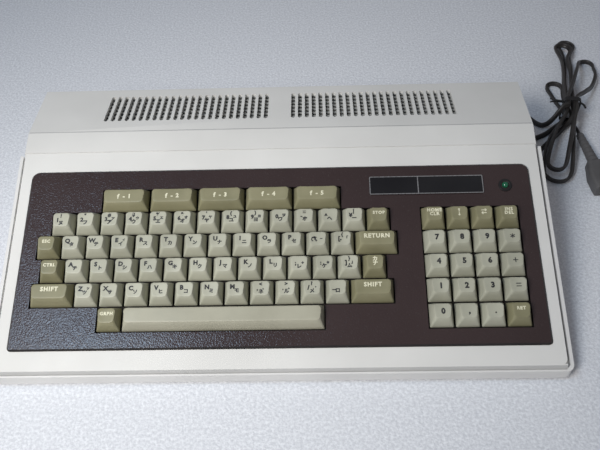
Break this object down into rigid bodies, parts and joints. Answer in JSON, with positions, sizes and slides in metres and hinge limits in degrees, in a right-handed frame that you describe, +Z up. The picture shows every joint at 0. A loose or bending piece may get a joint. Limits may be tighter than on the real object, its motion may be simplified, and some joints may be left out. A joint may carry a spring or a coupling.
{
  "type": "home computer",
  "caption": "Wedge-shaped desktop home computer with a built-in sloping keyboard, numeric pad, function keys, slotted rear hood, rear ports and a mains cord tied in a hank.",
  "frame": {"origin": "on the table under the middle of the case, halfway between its sides and its front and rear", "axes": "+X to the right of the person typing, +Y to the rear, +Z up"},
  "size_m": [0.5495, 0.4164, 0.08],
  "materials": {
    "base_shell": "fine textured moulding",
    "top_shell": "fine textured moulding",
    "bezel_brown": "speckled semi-gloss moulding",
    "badge_black": "bare plate with a thin rim",
    "lamp_green": "translucent lens",
    "ivory_key": "worn satin key top",
    "khaki_key": "worn satin key top",
    "switch_plastic": "satin",
    "dark_plastic": "satin black",
    "circuit_board": "solder resist",
    "transformer_steel": "laminated steel with a wound coil",
    "foot_rubber": "matt",
    "cord_plastic": "soft satin",
    "tie_plastic": "satin",
    "plug_plastic": "satin moulding"
  },
  "bodies": {
    "case": {"lower_case": "base_shell", "upper_case": "top_shell", "vent_screen": "dark_plastic", "front_left_foot": "foot_rubber", "front_right_foot": "foot_rubber", "rear_left_foot": "foot_rubber", "rear_right_foot": "foot_rubber", "keyboard_bezel": "bezel_brown", "badge_plate": "badge_black", "power_light": "lamp_green", "keyboard_frame": "switch_plastic", "keyboard_board": "circuit_board", "main_board": "circuit_board", "power_board": "circuit_board", "transformer": "transformer_steel", "power_switch_body": "dark_plastic", "monochrome_video_socket": "dark_plastic", "color_video_socket": "dark_plastic", "cassette_socket": "dark_plastic", "strain_relief": "cord_plastic", "power_cord": "cord_plastic", "cord_hank": "cord_plastic", "cord_tie": "tie_plastic", "power_plug": "plug_plastic"},
    "graph_key": {"graph_key": "khaki_key"},
    "left_shift_key": {"left_shift_key": "khaki_key"},
    "right_shift_key": {"right_shift_key": "khaki_key"},
    "control_key": {"control_key": "khaki_key"},
    "kana_key": {"kana_key": "khaki_key"},
    "escape_key": {"escape_key": "khaki_key"},
    "return_key": {"return_key": "khaki_key"},
    "stop_key": {"stop_key": "khaki_key"},
    "f1_key": {"f1_key": "khaki_key"},
    "f2_key": {"f2_key": "khaki_key"},
    "f3_key": {"f3_key": "khaki_key"},
    "f4_key": {"f4_key": "khaki_key"},
    "f5_key": {"f5_key": "khaki_key"},
    "pad_enter_key": {"pad_enter_key": "khaki_key"},
    "pad_home_key": {"pad_home_key": "khaki_key"},
    "pad_up_down_key": {"pad_up_down_key": "khaki_key"},
    "pad_left_right_key": {"pad_left_right_key": "khaki_key"},
    "pad_insert_key": {"pad_insert_key": "khaki_key"},
    "space_bar": {"space_bar": "ivory_key"},
    "pad_0_key": {"pad_0_key": "ivory_key"},
    "pad_1_key": {"pad_1_key": "ivory_key"},
    "pad_2_key": {"pad_2_key": "ivory_key"},
    "pad_3_key": {"pad_3_key": "ivory_key"},
    "pad_4_key": {"pad_4_key": "ivory_key"},
    "pad_5_key": {"pad_5_key": "ivory_key"},
    "pad_6_key": {"pad_6_key": "ivory_key"},
    "pad_7_key": {"pad_7_key": "ivory_key"},
    "pad_8_key": {"pad_8_key": "ivory_key"},
    "pad_9_key": {"pad_9_key": "ivory_key"},
    "pad_comma_key": {"pad_comma_key": "ivory_key"},
    "pad_point_key": {"pad_point_key": "ivory_key"},
    "pad_equals_key": {"pad_equals_key": "ivory_key"},
    "pad_plus_key": {"pad_plus_key": "ivory_key"},
    "pad_times_key": {"pad_times_key": "ivory_key"},
    "power_rocker": {"power_rocker": "dark_plastic"},
    "reset_button": {"reset_button": "dark_plastic"}
  },
  "joints": [
    {"name": "graph_key_press", "type": "slide", "parent": "case", "child": "graph_key", "axis": [0, 0.3233, -0.9463], "range_m": [0, 0.004], "stiffness_N_per_m": 75, "springref_m": -0.004},
    {"name": "left_shift_key_press", "type": "slide", "parent": "case", "child": "left_shift_key", "axis": [0, 0.3233, -0.9463], "range_m": [0, 0.004], "stiffness_N_per_m": 75, "springref_m": -0.004},
    {"name": "right_shift_key_press", "type": "slide", "parent": "case", "child": "right_shift_key", "axis": [0, 0.3233, -0.9463], "range_m": [0, 0.004], "stiffness_N_per_m": 75, "springref_m": -0.004},
    {"name": "control_key_press", "type": "slide", "parent": "case", "child": "control_key", "axis": [0, 0.3233, -0.9463], "range_m": [0, 0.004], "stiffness_N_per_m": 75, "springref_m": -0.004},
    {"name": "kana_key_press", "type": "slide", "parent": "case", "child": "kana_key", "axis": [0, 0.3233, -0.9463], "range_m": [0, 0.004], "stiffness_N_per_m": 75, "springref_m": -0.004},
    {"name": "escape_key_press", "type": "slide", "parent": "case", "child": "escape_key", "axis": [0, 0.3233, -0.9463], "range_m": [0, 0.004], "stiffness_N_per_m": 75, "springref_m": -0.004},
    {"name": "return_key_press", "type": "slide", "parent": "case", "child": "return_key", "axis": [0, 0.3233, -0.9463], "range_m": [0, 0.004], "stiffness_N_per_m": 75, "springref_m": -0.004},
    {"name": "stop_key_press", "type": "slide", "parent": "case", "child": "stop_key", "axis": [0, 0.3233, -0.9463], "range_m": [0, 0.004], "stiffness_N_per_m": 75, "springref_m": -0.004},
    {"name": "f1_key_press", "type": "slide", "parent": "case", "child": "f1_key", "axis": [0, 0.3233, -0.9463], "range_m": [0, 0.004], "stiffness_N_per_m": 75, "springref_m": -0.004},
    {"name": "f2_key_press", "type": "slide", "parent": "case", "child": "f2_key", "axis": [0, 0.3233, -0.9463], "range_m": [0, 0.004], "stiffness_N_per_m": 75, "springref_m": -0.004},
    {"name": "f3_key_press", "type": "slide", "parent": "case", "child": "f3_key", "axis": [0, 0.3233, -0.9463], "range_m": [0, 0.004], "stiffness_N_per_m": 75, "springref_m": -0.004},
    {"name": "f4_key_press", "type": "slide", "parent": "case", "child": "f4_key", "axis": [0, 0.3233, -0.9463], "range_m": [0, 0.004], "stiffness_N_per_m": 75, "springref_m": -0.004},
    {"name": "f5_key_press", "type": "slide", "parent": "case", "child": "f5_key", "axis": [0, 0.3233, -0.9463], "range_m": [0, 0.004], "stiffness_N_per_m": 75, "springref_m": -0.004},
    {"name": "pad_enter_key_press", "type": "slide", "parent": "case", "child": "pad_enter_key", "axis": [0, 0.3233, -0.9463], "range_m": [0, 0.004], "stiffness_N_per_m": 75, "springref_m": -0.004},
    {"name": "pad_home_key_press", "type": "slide", "parent": "case", "child": "pad_home_key", "axis": [0, 0.3233, -0.9463], "range_m": [0, 0.004], "stiffness_N_per_m": 75, "springref_m": -0.004},
    {"name": "pad_up_down_key_press", "type": "slide", "parent": "case", "child": "pad_up_down_key", "axis": [0, 0.3233, -0.9463], "range_m": [0, 0.004], "stiffness_N_per_m": 75, "springref_m": -0.004},
    {"name": "pad_left_right_key_press", "type": "slide", "parent": "case", "child": "pad_left_right_key", "axis": [0, 0.3233, -0.9463], "range_m": [0, 0.004], "stiffness_N_per_m": 75, "springref_m": -0.004},
    {"name": "pad_insert_key_press", "type": "slide", "parent": "case", "child": "pad_insert_key", "axis": [0, 0.3233, -0.9463], "range_m": [0, 0.004], "stiffness_N_per_m": 75, "springref_m": -0.004},
    {"name": "space_bar_press", "type": "slide", "parent": "case", "child": "space_bar", "axis": [0, 0.3233, -0.9463], "range_m": [0, 0.004], "stiffness_N_per_m": 100, "springref_m": -0.004},
    {"name": "pad_0_key_press", "type": "slide", "parent": "case", "child": "pad_0_key", "axis": [0, 0.3233, -0.9463], "range_m": [0, 0.004], "stiffness_N_per_m": 75, "springref_m": -0.004},
    {"name": "pad_1_key_press", "type": "slide", "parent": "case", "child": "pad_1_key", "axis": [0, 0.3233, -0.9463], "range_m": [0, 0.004], "stiffness_N_per_m": 75, "springref_m": -0.004},
    {"name": "pad_2_key_press", "type": "slide", "parent": "case", "child": "pad_2_key", "axis": [0, 0.3233, -0.9463], "range_m": [0, 0.004], "stiffness_N_per_m": 75, "springref_m": -0.004},
    {"name": "pad_3_key_press", "type": "slide", "parent": "case", "child": "pad_3_key", "axis": [0, 0.3233, -0.9463], "range_m": [0, 0.004], "stiffness_N_per_m": 75, "springref_m": -0.004},
    {"name": "pad_4_key_press", "type": "slide", "parent": "case", "child": "pad_4_key", "axis": [0, 0.3233, -0.9463], "range_m": [0, 0.004], "stiffness_N_per_m": 75, "springref_m": -0.004},
    {"name": "pad_5_key_press", "type": "slide", "parent": "case", "child": "pad_5_key", "axis": [0, 0.3233, -0.9463], "range_m": [0, 0.004], "stiffness_N_per_m": 75, "springref_m": -0.004},
    {"name": "pad_6_key_press", "type": "slide", "parent": "case", "child": "pad_6_key", "axis": [0, 0.3233, -0.9463], "range_m": [0, 0.004], "stiffness_N_per_m": 75, "springref_m": -0.004},
    {"name": "pad_7_key_press", "type": "slide", "parent": "case", "child": "pad_7_key", "axis": [0, 0.3233, -0.9463], "range_m": [0, 0.004], "stiffness_N_per_m": 75, "springref_m": -0.004},
    {"name": "pad_8_key_press", "type": "slide", "parent": "case", "child": "pad_8_key", "axis": [0, 0.3233, -0.9463], "range_m": [0, 0.004], "stiffness_N_per_m": 75, "springref_m": -0.004},
    {"name": "pad_9_key_press", "type": "slide", "parent": "case", "child": "pad_9_key", "axis": [0, 0.3233, -0.9463], "range_m": [0, 0.004], "stiffness_N_per_m": 75, "springref_m": -0.004},
    {"name": "pad_comma_key_press", "type": "slide", "parent": "case", "child": "pad_comma_key", "axis": [0, 0.3233, -0.9463], "range_m": [0, 0.004], "stiffness_N_per_m": 75, "springref_m": -0.004},
    {"name": "pad_point_key_press", "type": "slide", "parent": "case", "child": "pad_point_key", "axis": [0, 0.3233, -0.9463], "range_m": [0, 0.004], "stiffness_N_per_m": 75, "springref_m": -0.004},
    {"name": "pad_equals_key_press", "type": "slide", "parent": "case", "child": "pad_equals_key", "axis": [0, 0.3233, -0.9463], "range_m": [0, 0.004], "stiffness_N_per_m": 75, "springref_m": -0.004},
    {"name": "pad_plus_key_press", "type": "slide", "parent": "case", "child": "pad_plus_key", "axis": [0, 0.3233, -0.9463], "range_m": [0, 0.004], "stiffness_N_per_m": 75, "springref_m": -0.004},
    {"name": "pad_times_key_press", "type": "slide", "parent": "case", "child": "pad_times_key", "axis": [0, 0.3233, -0.9463], "range_m": [0, 0.004], "stiffness_N_per_m": 75, "springref_m": -0.004},
    {"name": "power_rocker_tilt", "type": "hinge", "parent": "case", "child": "power_rocker", "pos_m": [0.15001, 0.1228, 0.04001], "axis": [-1, 0, 0], "range_deg": [0, 16]},
    {"name": "reset_button_press", "type": "slide", "parent": "case", "child": "reset_button", "axis": [0, -1, 0], "range_m": [0, 0.003], "stiffness_N_per_m": 150, "springref_m": -0.003}
  ]
}
